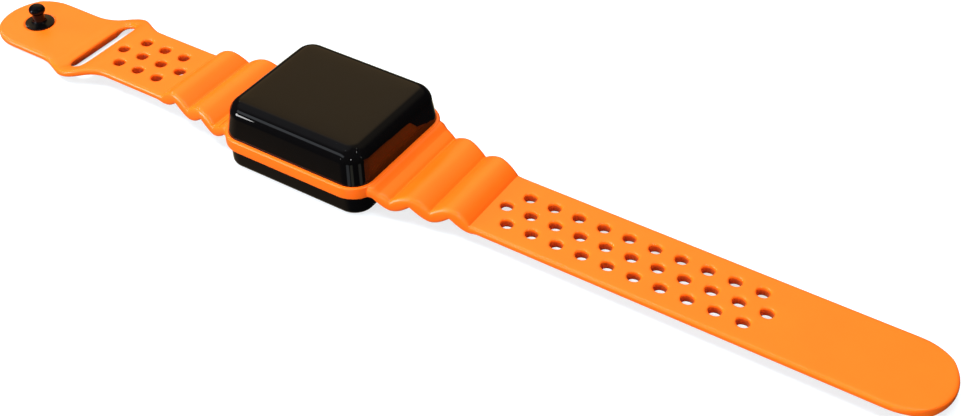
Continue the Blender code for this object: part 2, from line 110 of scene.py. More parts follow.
def mouldedSilicone():
    # liquid silicone rubber from a satin mould: even saturated colour, soft broad highlights
    made, tree, shader, coords = newMaterial("moulded_silicone_orange")
    clouds = addNode(tree, "ShaderNodeTexNoise", {"Scale": 1 / silicone["drift"], "Detail": 3.0},
                     {"Vector": coords})  # pigment drifts over about 9 mm
    tint = addNode(tree, "ShaderNodeMix",
                   {6: hexColour(silicone["deep"]), 7: hexColour(silicone["bright"])},
                   {0: clouds.outputs["Fac"]}, data_type="RGBA")
    grain = addNode(tree, "ShaderNodeTexNoise", {"Scale": 1 / silicone["grain"], "Detail": 2.0},
                    {"Vector": coords})  # spark-eroded mould skin, drawn at 0.25 mm to show
    bump = addNode(tree, "ShaderNodeBump",
                   {"Strength": silicone["reliefShown"], "Distance": silicone["relief"]},
                   {"Height": grain.outputs["Fac"]})
    rough = addNode(tree, "ShaderNodeMapRange",
                    {"To Min": silicone["smoothest"], "To Max": silicone["roughest"]},
                    {"Value": clouds.outputs["Fac"]})
    tree.links.new(tint.outputs[2], shader.inputs["Base Color"])
    tree.links.new(rough.outputs["Result"], shader.inputs["Roughness"])
    tree.links.new(bump.outputs["Normal"], shader.inputs["Normal"])
    shader.inputs["IOR"].default_value = silicone["ior"]
    shader.inputs["Specular IOR Level"].default_value = silicone["specular"]
    return made


gloss = {"haze": 4 * mm, "hazeHex": "#060607", "hazeRough": 0.02, "ior": 1.49, "specular": 0.2}


def pianoBlack(name, baseHex, roughness):
    # polished plastic over smoked black: deep colour, mirror gloss, faint polishing haze
    made, tree, shader, coords = newMaterial(name)
    swirl = addNode(tree, "ShaderNodeTexNoise", {"Scale": 1 / gloss["haze"], "Detail": 4.0},
                    {"Vector": coords})
    rough = addNode(tree, "ShaderNodeMapRange",
                    {"To Min": roughness, "To Max": roughness + gloss["hazeRough"]},
                    {"Value": swirl.outputs["Fac"]})
    tint = addNode(tree, "ShaderNodeMix", {6: hexColour(baseHex), 7: hexColour(gloss["hazeHex"])},
                   {0: swirl.outputs["Fac"]}, data_type="RGBA")
    tree.links.new(tint.outputs[2], shader.inputs["Base Color"])
    tree.links.new(rough.outputs["Result"], shader.inputs["Roughness"])
    shader.inputs["IOR"].default_value = gloss["ior"]
    shader.inputs["Specular IOR Level"].default_value = gloss["specular"]
    return made


def speckled(name, firstHex, secondHex, grainMm, roughness, metallic=0.0, bumpMm=0.01):
    # a small part's finish: two close tones mottled at the grain's size, with a little relief
    made, tree, shader, coords = newMaterial(name)
    mottle = addNode(tree, "ShaderNodeTexNoise", {"Scale": 1 / (grainMm * mm), "Detail": 3.0},
                     {"Vector": coords})
    tint = addNode(tree, "ShaderNodeMix", {6: hexColour(firstHex), 7: hexColour(secondHex)},
                   {0: mottle.outputs["Fac"]}, data_type="RGBA")
    bump = addNode(tree, "ShaderNodeBump", {"Strength": 0.3, "Distance": bumpMm * mm},
                   {"Height": mottle.outputs["Fac"]})
    tree.links.new(tint.outputs[2], shader.inputs["Base Color"])
    tree.links.new(bump.outputs["Normal"], shader.inputs["Normal"])
    shader.inputs["Roughness"].default_value = roughness
    shader.inputs["Metallic"].default_value = metallic
    return made


orange = mouldedSilicone()
coverBlack = pianoBlack("smoked_acrylic_cover", "#050404", 0.012)
rearBlack = pianoBlack("polished_abs_rear", "#050505", 0.06)
plated = speckled("black_nickel_plated_steel", "#141416", "#1B1B1E", 0.4, 0.16, 0.85, 0.002)
innerFinishes = {
    "seal_rubber": speckled("nitrile_seal", "#1A1A1A", "#202020", 0.3, 0.7),  # dull and dusty
    "black_steel": plated,  # turned, then plated: dark metal with tight highlights
    "gold_plate": speckled("gold_plated_brass", "#D9A441", "#E6B85A", 0.3, 0.22, 1.0, 0.002),  # satin
    "chassis_grey": speckled("glass_filled_nylon", "#54565A", "#62656A", 0.4, 0.55),  # fibre mottle
    "green_board": speckled("solder_mask_green", "#14522E", "#1B6338", 1.2, 0.35),  # waxy lacquer
    "chip_black": speckled("epoxy_moulded_chip", "#1C1C1E", "#252527", 0.15, 0.5),  # fine matt grit
    "antenna_ceramic": speckled("fired_antenna_ceramic", "#C9B493", "#D6C4A6", 0.2, 0.5),  # chalky
    "display_black": speckled("dark_display_glass", "#0B0C10", "#101218", 2.0, 0.08),  # clear gloss
    "clear_film": speckled("optical_film", "#C4CBD0", "#D2D8DC", 3.0, 0.12),  # smooth, cool grey
    "flex_amber": speckled("polyimide_film", "#9A5214", "#AD6220", 0.8, 0.3),  # amber, half gloss
    "battery_foil": speckled("laminated_foil_pouch", "#B4B6BA", "#C6C8CC", 1.5, 0.35, 0.8),  # soft creases
    "motor_steel": speckled("drawn_steel_can", "#A9ABAD", "#B9BBBD", 0.5, 0.28, 1.0),  # bright metal
}
print("materials made")


view = {"aim": (45.25 * mm, -4.04 * mm, 5.4 * mm), "distance": 320.6 * mm,
        "heading": -57.697, "height": 41.108, "lens": 51.945, "sensor": 36, "nearest": 5 * mm}


def placeCamera():
    heading, height = math.radians(view["heading"]), math.radians(view["height"])
    away = Vector((math.cos(height) * math.cos(heading), math.cos(height) * math.sin(heading),
                   math.sin(height)))
    data = bpy.data.cameras.new("camera")
    data.lens = view["lens"]
    data.sensor_width = view["sensor"]
    data.clip_start = view["nearest"]
    camera = bpy.data.objects.new("camera", data)
    camera.location = Vector(view["aim"]) + away * view["distance"]
    camera.rotation_euler = (-away).to_track_quat("-Z", "Y").to_euler()
    bpy.context.scene.collection.objects.link(camera)
    bpy.context.scene.camera = camera


sweep = {"half": 6.0, "below": 0.02 * mm, "colour": "#98A4AC", "roughness": 0.9, "glow": 0.70}


def layFloor():
    bm = bmesh.new()
    bmesh.ops.create_grid(bm, x_segments=1, y_segments=1, size=sweep["half"])
    mesh = bpy.data.meshes.new("floor")
    bm.to_mesh(mesh)
    bm.free()
    floor = bpy.data.objects.new("floor", mesh)
    floor.location.z = -sweep["below"]
    made, _, shader, _ = newMaterial("white_sweep")  # seamless paper, lit from within
    shader.inputs["Base Color"].default_value = hexColour(sweep["colour"])
    shader.inputs["Roughness"].default_value = sweep["roughness"]
    shader.inputs["Specular IOR Level"].default_value = 0.0
    shader.inputs["Emission Color"].default_value = (1, 1, 1, 1)
    shader.inputs["Emission Strength"].default_value = sweep["glow"]
    mesh.materials.append(made)
    bpy.context.scene.collection.objects.link(floor)
    floor.visible_glossy = False  # black cards keep the floor out of the gloss
    floor.visible_diffuse = False  # and its light off the walls of the holes


# name, direction from the watch, width in metres, watts, tint, whether the gloss shows it
lamps = [
    ("overhead", (-0.10, -0.10, 1.0), 1.0, 15, (1, 1, 1), False),
    ("key", (-0.42, -0.12, 0.90), 0.55, 8, (1, 1, 1), False),
    ("edge_card", (-0.45, -0.75, 0.48), 0.8, 1.5, (0.85, 0.92, 1.0), True),
    ("front_fill", (0.15, -1.0, 0.20), 0.5, 13, (1, 1, 1), False),
    ("left_fill", (-1.0, -0.35, 0.35), 0.5, 6, (1, 1, 1), False),
]

# bare bulbs seen as points in the gloss: direction, radius in metres, radiance
bulbs = {
    "edge_lamp": ((-0.66, -0.74, 0.16), 0.11, 30),
    "point_lamp_1": ((-0.33, -0.33, 0.89), 0.010, 500),
    "point_lamp_2": ((0.53, -0.10, 0.84), 0.012, 500),
    "point_lamp_3": ((0.30, 0.20, 0.90), 0.012, 500),
    "point_lamp_4": ((-0.35, -0.92, 0.18), 0.016, 150),
    "point_lamp_5": ((0.48, -0.80, 0.35), 0.024, 120),
    "point_lamp_6": ((0.93, -0.10, 0.30), 0.016, 150),
    "point_lamp_7": ((-0.81, 0.24, 0.54), 0.010, 400),
}

# soft patches of the room: direction, cosines where each starts and is full, colour
patches = [
    ((-0.53, 0.60, 0.60), 0.84, 0.965, (0.76, 0.50, 0.22)),
    ((-0.05, 0.60, 0.78), 0.78, 0.97, (0.26, 0.22, 0.15)),
    ((-0.48, -0.10, 0.87), 0.84, 0.98, (0.34, 0.35, 0.37)),
    ((-0.52, 0.62, -0.58), 0.86, 0.96, (0.60, 0.48, 0.25)),
    ((-0.50, -0.20, -0.84), 0.70, 0.90, (0.22, 0.15, 0.08)),
    ((0.18, -0.87, -0.47), 0.990, 0.998, (1.1, 1.2, 1.3)),
    ((0.44, -0.77, -0.47), 0.992, 0.999, (0.9, 0.9, 0.7)),
    ((0.83, -0.30, -0.45), 0.990, 0.998, (0.7, 0.7, 0.6)),
]

room = {"dark": (0.03, 0.031, 0.034), "middle": 10 * mm, "lampsAway": 1.2, "bulbsAway": 1.0}


def addLamp(name, away, distance, size, power, tint=(1, 1, 1), shape="RECTANGLE", glossy=True):
    data = bpy.data.lights.new(name, "AREA")
    data.shape = shape
    data.size = size
    data.energy = power
    data.color = tint
    lamp = bpy.data.objects.new(name, data)
    away = Vector(away).normalized()
    lamp.location = Vector((0, 0, room["middle"])) + away * distance
    lamp.rotation_euler = (-away).to_track_quat("-Z", "Y").to_euler()
    lamp.visible_glossy = glossy
    bpy.context.scene.collection.objects.link(lamp)


def paintWorld():
    world = bpy.data.worlds.new("studio")
    world.use_nodes = True
    tree = world.node_tree
    coords = tree.nodes.new("ShaderNodeTexCoord").outputs["Generated"]
    total = None
    for away, start, full, colour in patches:
        facing = addNode(tree, "ShaderNodeVectorMath", {1: Vector(away).normalized()}, {0: coords},
                         operation="DOT_PRODUCT")
        soft = addNode(tree, "ShaderNodeMapRange", {"From Min": start, "From Max": full},
                       {"Value": facing.outputs["Value"]}, interpolation_type="SMOOTHSTEP")
        patch = addNode(tree, "ShaderNodeVectorMath", {0: colour}, {"Scale": soft.outputs["Result"]},
                        operation="SCALE").outputs[0]
        base = {0: room["dark"]} if total is None else {}
        links = {1: patch} if total is None else {0: total, 1: patch}
        total = addNode(tree, "ShaderNodeVectorMath", base, links, operation="ADD").outputs[0]
    tree.links.new(total, tree.nodes["Background"].inputs["Color"])
    bpy.context.scene.world = world


def lightStage():
    bpy.context.scene.view_settings.view_transform = "Standard"
    paintWorld()
    for name, away, size, power, tint, glossy in lamps:
        addLamp(name, away, room["lampsAway"], size, power, tint, glossy=glossy)
    for name, (away, radius, radiance) in bulbs.items():
        power = radiance * math.pi ** 2 * radius ** 2
        addLamp(name, away, room["bulbsAway"], 2 * radius, power, shape="DISK")


placeCamera()
layFloor()
lightStage()
print("stage set")


# u runs along an arm from the middle of the watch, and the short arm is mirrored at the end
band = {
    "half": 11.0 * mm, "bottom": 3.4 * mm, "thick": 2.0 * mm, "pitch": 6.5 * mm,
    "firstHole": 50.0 * mm, "rowOffset": 5.28 * mm, "bore": 1.54 * mm, "rim": 1.74 * mm,
    "longHoles": 11, "shortHoles": 4, "rimDraw": 0.6, "smoothing": 2, "lowest": 0.1 * mm,
    "belly": 0.75 * mm, "bellyFrom": 48 * mm, "bellyFull": 53 * mm,  # thicker under the holes
    "bellyEdge": 10.4 * mm, "bellyFlat": 7.4 * mm,
    "plateEnd": -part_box("pin_plate")[0].x, "plateHalf": 11.1 * mm,
}
folds = {
    "root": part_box("lens_cover")[1].x,
    "valleys": (26.6 * mm, 36.6 * mm, 46.5 * mm),
    "valleyTops": (6.05 * mm, 6.0 * mm, 5.45 * mm),
    "crestTops": (8.1 * mm, 8.45 * mm, 8.4 * mm),
    "notches": (22.4 * mm, 31.5 * mm, 41.4 * mm),
    "notchHeights": (5.55 * mm, 5.5 * mm, 5.45 * mm),
    "lobeBottoms": (3.0 * mm, 2.75 * mm, 3.0 * mm),
    "rootFullness": 0.7, "crestFullness": 0.85, "lastLobe": 46.0 * mm, "settled": 48.8 * mm,
    "flare": 4.8 * mm, "flareCurve": 1.35, "flareTo": 48.5 * mm,
}
loop = {"slotFrom": 75.0 * mm, "slotTo": 80.2 * mm, "slotHalf": 11.2 * mm, "stepFrom": 69.0 * mm,
        "stepTo": 85.5 * mm, "drop": 3.12 * mm, "earPeak": 77.5 * mm, "ear": 4.05 * mm,
        "reach": (11.0 * mm, 12.5 * mm), "spreadFrom": 70 * mm, "spreadTo": 86 * mm}

# mesh lines in mm: half of those across the band, those round a hole's centre and after it,
# those at the slot, and the shares of a round end
lines = {
    "across": (0.0, 1.32, 2.64, 3.96, 5.28, 6.6, 7.92, 8.9, 9.7, 10.45, 11.0),
    "atHole": (-2.0, -1.25, 0.0, 1.25), "afterHole": (2.0, 3.25), "slotLine": 7.92,
    "atSlot": (73.2, 74.3, 75.0, 76.2, 77.6, 79.0, 80.2, 80.9, 82.0),
    "roundEnd": (0.2, 0.4, 0.58, 0.74, 0.86, 0.94, 1.0),
    "start": 20, "fine": 1.0, "longPlain": 1.8, "shortPlain": 1.7,
}


def armTop(u):
    # round crests with creases between them, then the plain band
    plain, marks, tops = band["bottom"] + band["thick"], folds["valleys"], folds["valleyTops"]
    if u >= marks[2]:
        return plain + (tops[2] - plain) * (1 - smoothStep(share(u, marks[2], folds["settled"])))
    if u <= marks[0]:
        up = min(max(1 - share(u, folds["root"], marks[0]), 0.0), 1.0)
        rise = folds["crestTops"][0] - tops[0]
        return tops[0] + rise * math.sin(up * math.pi / 2) ** folds["rootFullness"]
    fold = 0 if u < marks[1] else 1
    along = share(u, marks[fold], marks[fold + 1])
    base = tops[fold] + (tops[fold + 1] - tops[fold]) * along
    rise = folds["crestTops"][fold + 1] - base
    return base + rise * math.sin(math.pi * along) ** folds["crestFullness"]


def armBottom(u):
    # round lobes under the creases, with notches under the crests
    marks, lows = folds["notches"], folds["lobeBottoms"]
    if u >= folds["lastLobe"]:
        rise = band["bottom"] - lows[2]
        return lows[2] + rise * smoothStep(share(u, folds["lastLobe"], folds["settled"]))
    if u <= marks[0]:
        return folds["notchHeights"][0]
    if u >= marks[2]:
        fold, along = 2, share(u, marks[2], folds["lastLobe"]) / 2
    else:
        fold = 0 if u < marks[1] else 1
        along = share(u, marks[fold], marks[fold + 1])
    roof = folds["notchHeights"][fold]
    return roof - (roof - lows[fold]) * math.sin(math.pi * along)


def stepDrop(u):
    return loop["drop"] * smoothStep(share(u, loop["stepFrom"], loop["stepTo"]))


def foldHalf(u):
    spread = max(1 - share(u, folds["root"], folds["flareTo"]), 0.0)
    return band["half"] + folds["flare"] * spread ** folds["flareCurve"]


def earHalf(u):
    reach = loop["reach"][0 if u < loop["earPeak"] else 1]
    near = max(1 - abs(u - loop["earPeak"]) / reach, 0.0)
    slim = (band["plateHalf"] - band["half"]) * smoothStep(share(u, loop["stepFrom"], loop["stepTo"]))
    return band["half"] + slim + loop["ear"] * smoothStep(near)


def lineUp(marks, step):
    # mesh lines through every mark, with even steps of about the given size between them
    placed = [marks[0]]
    for start, end in zip(marks, marks[1:]):
        count = max(round((end - start) / step), 1)
        placed += [start + (end - start) * i / count for i in range(1, count + 1)]
    return placed


def holeCentres(count):
    first, pitch = band["firstHole"], band["pitch"]
    centres = [(first + i * pitch, 0.0) for i in range(count)]
    for row in (-band["rowOffset"], band["rowOffset"]):
        centres += [(first + (i + 0.5) * pitch, row) for i in range(count - 1)]
    return centres


def holeLines(count):
    # along the band each hole spans four cells, 2 mm either side of its centre
    placed = []
    for i in range(count):
        centre = band["firstHole"] + i * band["pitch"]
        placed += [centre + offset * mm for offset in lines["atHole"]]
        if i < count - 1:
            placed += [centre + offset * mm for offset in lines["afterHole"]]
    return placed + [centre + lines["afterHole"][0] * mm]


def gridPlate(alongLines):
    acrossLines = [-y * mm for y in reversed(lines["across"][1:])] + [y * mm for y in lines["across"]]
    bm = bmesh.new()
    bmesh.ops.create_grid(bm, x_segments=len(alongLines) - 1, y_segments=len(acrossLines) - 1, size=1.0)
    for vert in bm.verts:
        i = round((vert.co.x + 1) / 2 * (len(alongLines) - 1))
        j = round((vert.co.y + 1) / 2 * (len(acrossLines) - 1))
        vert.co = Vector((alongLines[i], acrossLines[j], 0.0))
    return bm


def pullRings(bm, u, v, inside, reach, radii):
    # drop the vertices inside a spot, then pull rings of new ones in to true circles
    bmesh.ops.delete(bm, geom=[vert for vert in bm.verts if inside(vert.co)], context="VERTS")
    edges = [edge for edge in bm.edges if edge.is_boundary and all(
        abs(vert.co.x - u) < reach[0] and abs(vert.co.y - v) < reach[1] for vert in edge.verts)]
    for radius in radii:
        made = bmesh.ops.extrude_edge_only(bm, edges=edges)["geom"]
        edges = [item for item in made if isinstance(item, bmesh.types.BMEdge) and item.is_boundary]
        ring = {vert for edge in edges for vert in edge.verts}
        order = sorted(ring, key=lambda vert: math.atan2(vert.co.y - v, vert.co.x - u))
        turn = 2 * math.pi / len(order)
        angles = [math.atan2(vert.co.y - v, vert.co.x - u) - i * turn for i, vert in enumerate(order)]
        start = sum(angles) / len(angles)
        for i, vert in enumerate(order):
            angle = start + i * turn
            vert.co = Vector((u + radius * math.cos(angle), v + radius * math.sin(angle), 0.0))


holeSpot = {"clear": 1.5 * mm, "reach": (2.1 * mm, 2.7 * mm)}  # taken out, and where its rim is found


def openHoles(bm, centres):
    clear = holeSpot["clear"]
    for u, v in centres:
        pullRings(bm, u, v, lambda co: abs(co.x - u) < clear and abs(co.y - v) < clear,
                  holeSpot["reach"], (band["rim"], band["bore"]))


def flareSides(bm):
    for vert in bm.verts:
        vert.co.y *= foldHalf(vert.co.x) / band["half"]


def roundEnd(bm, arcStart, radius):
    # plan view: the last stretch of the grid becomes half a disc
    for vert in bm.verts:
        along = (vert.co.x - arcStart) / radius
        if along > 0:
            across = vert.co.y / radius
            vert.co.x = arcStart + radius * along * math.sqrt(1 - across ** 2 / 2)
            vert.co.y = radius * across * math.sqrt(1 - along ** 2 / 2)


def thicken(bm):
    # solid plate of one thickness about z = 0, its rims drawn in so that subdivision rounds them
    bmesh.ops.recalc_face_normals(bm, faces=bm.faces)
    bmesh.ops.solidify(bm, geom=bm.faces[:], thickness=band["thick"])
    middle = (max(vert.co.z for vert in bm.verts) + min(vert.co.z for vert in bm.verts)) / 2
    for vert in bm.verts:
        vert.co.z -= middle
    sides = [edge for edge in bm.edges
             if abs(edge.verts[0].co.z - edge.verts[1].co.z) > band["thick"] / 2]
    for vert in {vert for edge in sides for vert in edge.verts}:
        vert.co.z *= band["rimDraw"]


def smoothed(bm):
    mesh = bpy.data.meshes.new("rough")
    bm.to_mesh(mesh)
    bm.free()
    rough = bpy.data.objects.new("rough", mesh)
    bpy.context.scene.collection.objects.link(rough)
    change = rough.modifiers.new("smooth", "SUBSURF")
    change.levels = change.render_levels = band["smoothing"]
    bpy.context.view_layer.update()
    final = bmesh.new()
    final.from_object(rough, bpy.context.evaluated_depsgraph_get())
    bpy.data.objects.remove(rough)
    return final


def bendPlate(bm, top, bottom):
    # lift every vertex from the flat plate on to the arm's own surfaces
    for vert in bm.verts:
        u = vert.co.x
        upper, lower = top(u), bottom(u)
        if vert.co.z < 0:
            belly = band["belly"] * smoothStep(share(u, band["bellyFrom"], band["bellyFull"]))
            middle = smoothStep(share(abs(vert.co.y), band["bellyEdge"], band["bellyFlat"]))
            lower = max(lower - belly * middle, band["lowest"])
        vert.co.z = (upper + lower) / 2 + vert.co.z / band["thick"] * (upper - lower)


def cutPiece(source, start, end, side, name):
    bm = source.copy()
    for place, keepAbove in ((start, True), (end, False)):
        if place is None:
            continue
        cut = bmesh.ops.bisect_plane(
            bm, geom=bm.verts[:] + bm.edges[:] + bm.faces[:], dist=1e-7, plane_co=(place, 0, 0),
            plane_no=(1, 0, 0), clear_inner=keepAbove, clear_outer=not keepAbove)["geom_cut"]
        bmesh.ops.edgeloop_fill(bm, edges=[item for item in cut if isinstance(item, bmesh.types.BMEdge)])
    if side < 0:
        bmesh.ops.scale(bm, vec=(-1, 1, 1), verts=bm.verts)
    bmesh.ops.recalc_face_normals(bm, faces=bm.faces)
    return finishPiece(name, bm, orange)


# in mm: where the folds are cut apart, and where each of their pieces bends
foldCuts = {"seams": (24, 31.5, 41.4), "bends": ((24.2, 29), (32, 41), (42, 51))}


def foldPlan(first, second, section, prefix, sectionNode, seam):
    # each piece's name, node, ends in mm, the two bodies that it joins, and where it bends
    start, middle, last = foldCuts["seams"]
    rootBend, middleBend, lastBend = foldCuts["bends"]
    return [
        ("root_fold", f"{prefix}_fold_1", start, middle, ("band", first), rootBend),
        ("middle_fold", f"{prefix}_fold_2", middle, last, (first, second), middleBend),
        ("last_fold", sectionNode, last, seam, (second, section), lastBend),
    ]


def makeArm(side, label, bm, plan):
    for name, node, start, end, bodies, (bendFrom, bendTo) in plan:
        ends = [None if place is None else place * mm for place in (start, end)]
        piece = cutPiece(bm, *ends, side, f"{label}_{name}")
        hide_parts(node)
        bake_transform(piece)
    bm.free()


# in mm: cuts and hinges of the perforated part, and how far a bend reaches from its hinge
longCuts = {"seams": (54.875, 71.125, 87.375, 103.625, 118), "hinges": (61.375, 77.625, 93.875, 110.125),
            "bend": 6.3, "plain": (118, 134), "plainBend": (119, 133.8), "tipBend": (134.2, 148.6)}


def longArm():
    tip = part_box("long_strap_tip")[1].x
    arcStart = tip - band["half"]
    marks = holeLines(band["longHoles"])
    fine = lineUp([lines["start"] * mm, marks[0]], lines["fine"] * mm) + marks[1:]
    plain = lineUp([marks[-1]] + [place * mm for place in longCuts["plain"]] + [arcStart],
                   lines["longPlain"] * mm)[1:]
    end = [arcStart + band["half"] * part for part in lines["roundEnd"]]
    bm = gridPlate(fine + plain + end)
    openHoles(bm, holeCentres(band["longHoles"]))
    flareSides(bm)
    roundEnd(bm, arcStart, band["half"])
    thicken(bm)
    bm = smoothed(bm)
    bendPlate(bm, armTop, armBottom)
    seams, bend, (plainFrom, plainTo) = longCuts["seams"], longCuts["bend"], longCuts["plain"]
    plan = foldPlan("long_fold_1", "long_fold_2", "long_section_1", "long_strap",
                    "long_strap_section_1", seams[0])
    for i, hinge in enumerate(longCuts["hinges"], start=1):
        plan.append((f"holes_{i}", f"long_strap_section_{i + 1}", seams[i - 1], seams[i],
                     (f"long_section_{i}", f"long_section_{i + 1}"), (hinge - bend, hinge + bend)))
    plan.append(("plain", "long_strap_section_6", plainFrom, plainTo,
                 ("long_section_5", "long_section_6"), longCuts["plainBend"]))
    plan.append(("tip", "long_strap_tip", plainTo, None, ("long_section_6", "long_tip"),
                 longCuts["tipBend"]))
    makeArm(1, "long_arm", bm, plan)


shortCuts = {"seams": (54.875, 70.5), "holesBend": (55.1, 67.7), "plateBend": (84.5, 95.5)}  # mm


def shortArm():
    marks = holeLines(band["shortHoles"])
    arcStart = band["plateEnd"] - band["plateHalf"]
    fine = lineUp([lines["start"] * mm, marks[0]], lines["fine"] * mm) + marks[1:]
    fine += [u * mm for u in lines["atSlot"]]
    plain = lineUp([fine[-1], arcStart], lines["shortPlain"] * mm)[1:]
    end = [arcStart + band["plateHalf"] * part for part in lines["roundEnd"]]
    bm = gridPlate(fine + plain + end)
    openHoles(bm, holeCentres(band["shortHoles"]))
    cutSlot(bm)
    flareSides(bm)
    roundEnd(bm, arcStart, band["plateHalf"])
    openPinSeat(bm)
    thicken(bm)
    sinkPinSeat(bm)
    bm = smoothed(bm)
    bendPlate(bm, lambda u: armTop(u) - stepDrop(u), lambda u: armBottom(u) - stepDrop(u))
    first, last = shortCuts["seams"]
    plan = foldPlan("short_fold_1", "short_fold_2", "short_section", "short_strap",
                    "short_strap_section", first)
    plan.append(("holes", "strap_loop", first, last, ("short_section", "loop"), shortCuts["holesBend"]))
    plan.append(("slot_and_plate", "pin_plate", last, None, ("loop", "plate"), shortCuts["plateBend"]))
    makeArm(-1, "short_arm", bm, plan)


def cutSlot(bm):
    # the slot opens on the step down; the band swells into an ear on each side of it
    inner, middle = lines["slotLine"] * mm, (loop["slotTo"] + loop["slotFrom"]) / 2
    centres = {face: face.calc_center_median() for face in bm.faces}
    gone = [face for face, centre in centres.items()
            if loop["slotFrom"] < centre.x < loop["slotTo"] and abs(centre.y) < inner]
    bmesh.ops.delete(bm, geom=gone, context="FACES")
    for vert in bm.verts:
        u, v = vert.co.x, abs(vert.co.y)
        spread = smoothStep(share(u, loop["spreadFrom"], loop["slotFrom"]))
        spread *= smoothStep(share(u, loop["spreadTo"], loop["slotTo"]))
        edge = inner + (loop["slotHalf"] - inner) * spread
        if v <= inner:
            placed = v / inner * edge
        else:
            placed = edge + share(v, inner, band["half"]) * (earHalf(u) - edge)
        vert.co.y = math.copysign(placed, vert.co.y)
    radius = (loop["slotTo"] - loop["slotFrom"]) / 2
    straight = loop["slotHalf"] - radius
    for vert in {vert for edge in bm.edges if edge.is_boundary for vert in edge.verts}:
        near = Vector((vert.co.x - middle, abs(vert.co.y) - straight, 0))
        if abs(near.x) <= radius + 0.01 * mm and 0 < near.y < radius + 0.1 * mm:
            near = near.normalized() * radius
            vert.co = Vector((middle + near.x, math.copysign(near.y + straight, vert.co.y), 0))


# round seat in the plate: rings of the mesh in mm, and how deep each side sinks
pinSeat = {"x": 101.8 * mm, "clear": 5.4 * mm, "reach": 7.6 * mm,
           "rings": (4.9, 4.4, 4.22, 3.85, 3.66, 1.35), "disc": 4.3 * mm, "discDeep": 0.35 * mm,
           "backing": 3.75 * mm, "backingDeep": 0.85 * mm}


def openPinSeat(bm):
    # concentric with the end of the plate
    pullRings(bm, pinSeat["x"], 0.0, lambda co: (co - Vector((pinSeat["x"], 0, 0))).length < pinSeat["clear"],
              (pinSeat["reach"], pinSeat["reach"]), [radius * mm for radius in pinSeat["rings"]])


def sinkPinSeat(bm):
    for vert in bm.verts:
        away = (vert.co.xy - Vector((pinSeat["x"], 0))).length
        if vert.co.z > 0 and away < pinSeat["disc"]:
            vert.co.z -= pinSeat["discDeep"]
        elif vert.co.z < 0 and away < pinSeat["backing"]:
            vert.co.z += pinSeat["backingDeep"]


longArm()
shortArm()
print("arms moulded")


def roundedBlock(halfX, halfY, corner, low, high, steps=14):
    # upright block with rounded vertical corners
    bm = bmesh.new()
    bmesh.ops.create_cube(bm, size=1.0)
    for vert in bm.verts:
        vert.co = Vector((vert.co.x * 2 * halfX, vert.co.y * 2 * halfY, low if vert.co.z < 0 else high))
    upright = [edge for edge in bm.edges
               if abs(edge.verts[0].co.z - edge.verts[1].co.z) > (high - low) / 2]
    bmesh.ops.bevel(bm, geom=upright, offset=corner, offset_type="OFFSET", affect="EDGES", segments=steps,
                    profile=0.5, material=-1)
    return bm


def endFace(bm, high):
    return (max if high else min)(bm.faces, key=lambda face: face.calc_center_median().z
                                  + (1 if high else -1) * face.calc_area())


def bevelRim(bm, high, radius, steps):
    bmesh.ops.bevel(bm, geom=list(endFace(bm, high).edges), offset=radius, offset_type="OFFSET",
                    affect="EDGES", segments=steps, profile=0.5, material=-1)


def openFace(bm, face, inset):
    # inset a face, take its middle out, and return the edges round the opening
    bmesh.ops.inset_individual(bm, faces=[face], thickness=inset)
    edges = list(face.edges)
    bmesh.ops.delete(bm, geom=[face], context="FACES_ONLY")
    return edges


def extrudeLoop(bm, edges, place):
    # carry an open loop of edges on to new places, given by a function of position
    made = bmesh.ops.extrude_edge_only(bm, edges=edges)["geom"]
    for vert in [item for item in made if isinstance(item, bmesh.types.BMVert)]:
        vert.co = place(vert.co)
    return [item for item in made if isinstance(item, bmesh.types.BMEdge) and item.is_boundary]


cover = {"halfX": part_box("lens_cover")[1].x, "halfY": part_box("lens_cover")[1].y, "corner": 5.4 * mm,
         "low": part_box("lens_cover")[0].z, "top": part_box("lens_cover")[1].z, "waist": 9.0 * mm,
         "lean": 0.75 * mm, "edge": 4.0 * mm, "wall": 1.5 * mm, "cavityRound": 2.5 * mm,
         "cavityTop": (0.94, 0.93), "crown": 0.6 * mm, "crownReach": 11.0 * mm,
         "crownRings": (0.94, 0.88, 0.81, 0.73, 0.64, 0.5)}
cradle = {"halfX": 22.15 * mm, "halfY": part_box("band_cradle")[1].y, "corner": 7.0 * mm, "low": 5.5 * mm,
          "high": 8.95 * mm, "edge": 0.4 * mm, "lowEdge": 0.7 * mm, "ledge": 6.9 * mm,
          "ledgeIn": 0.32 * mm, "clear": 0.04 * mm}
armRoot = {"from": 0.3 * mm, "to": 24 * mm, "lift": 0.75 * mm, "liftFull": 22.2 * mm,
           "meshTo": 25 * mm, "meshStep": 0.8 * mm}


def makeCradle():
    bm = roundedBlock(cradle["halfX"], cradle["halfY"], cradle["corner"], cradle["low"], cradle["high"])
    bevelRim(bm, True, cradle["edge"], 5)
    bevelRim(bm, False, cradle["lowEdge"], 5)
    wall = cradle["halfX"] - cover["halfX"] - cradle["clear"]
    above = openFace(bm, endFace(bm, True), wall - cradle["edge"])
    below = openFace(bm, endFace(bm, False), wall + cradle["ledgeIn"] - cradle["lowEdge"])
    edges = extrudeLoop(bm, above, lambda co: Vector((co.x, co.y, cradle["ledge"])))
    slim = 1 - cradle["ledgeIn"] / cover["halfX"]
    edges = extrudeLoop(bm, edges, lambda co: Vector((co.x * slim, co.y * slim, co.z)))
    bmesh.ops.bridge_loops(bm, edges=edges + below)
    bmesh.ops.recalc_face_normals(bm, faces=bm.faces)
    piece = finishPiece("cradle_ring", bm, orange, 50)
    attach(piece, "band")
    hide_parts("band_cradle")
    for side, label in ((1, "long"), (-1, "short")):
        makeRoot(side, label)


def rootTop(u):
    return armTop(u) + armRoot["lift"] * smoothStep(share(u, armRoot["to"], armRoot["liftFull"]))


